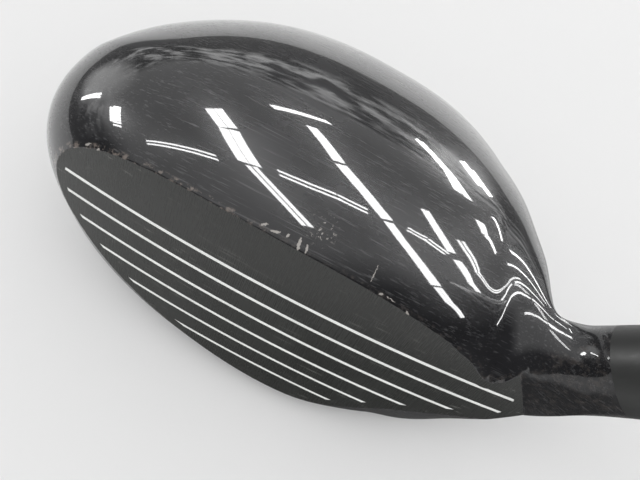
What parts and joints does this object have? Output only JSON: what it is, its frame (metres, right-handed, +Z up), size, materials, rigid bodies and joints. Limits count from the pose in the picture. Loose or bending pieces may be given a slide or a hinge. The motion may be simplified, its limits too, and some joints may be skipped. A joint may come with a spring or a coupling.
{
  "type": "hybrid golf club",
  "caption": "Right-handed hybrid golf club: hollow rounded head with scored bulged face, offset-free blended hosel, ferrule, tapered shaft and rubber grip.",
  "frame": {"origin": "the point of the sole that rests on the ground, behind the middle of the face", "axes": "+Z up from the ground, -Y towards the target, +X towards the heel and the golfer, with the shaft rising in the XZ plane at the lie angle"},
  "size_m": [0.5999, 0.0795, 0.8712],
  "materials": {
    "body_paint": "gloss black paint with fine scratches",
    "face_metal": "dark satin ion-plated steel, vertically brushed",
    "line_paint": "white paint fill",
    "weight_metal": "bare dense alloy",
    "epoxy": "cured epoxy",
    "shaft_lacquer": "gloss lacquer over composite",
    "plug_plastic": "plain",
    "ferrule_plastic": "matte black",
    "tape": "paper-backed tape",
    "grip_rubber": "matte moulded rubber"
  },
  "bodies": {
    "root": {"head_body": "body_paint", "crown_shell": "body_paint", "face_plate": "face_metal", "score_line_paint": "line_paint", "sole_weight": "weight_metal", "hosel_bond": "epoxy", "shaft": "shaft_lacquer", "shaft_tip_plug": "plug_plastic", "ferrule": "ferrule_plastic", "grip_tape": "tape", "grip_sleeve": "grip_rubber", "grip_cap": "grip_rubber"}
  },
  "joints": []
}
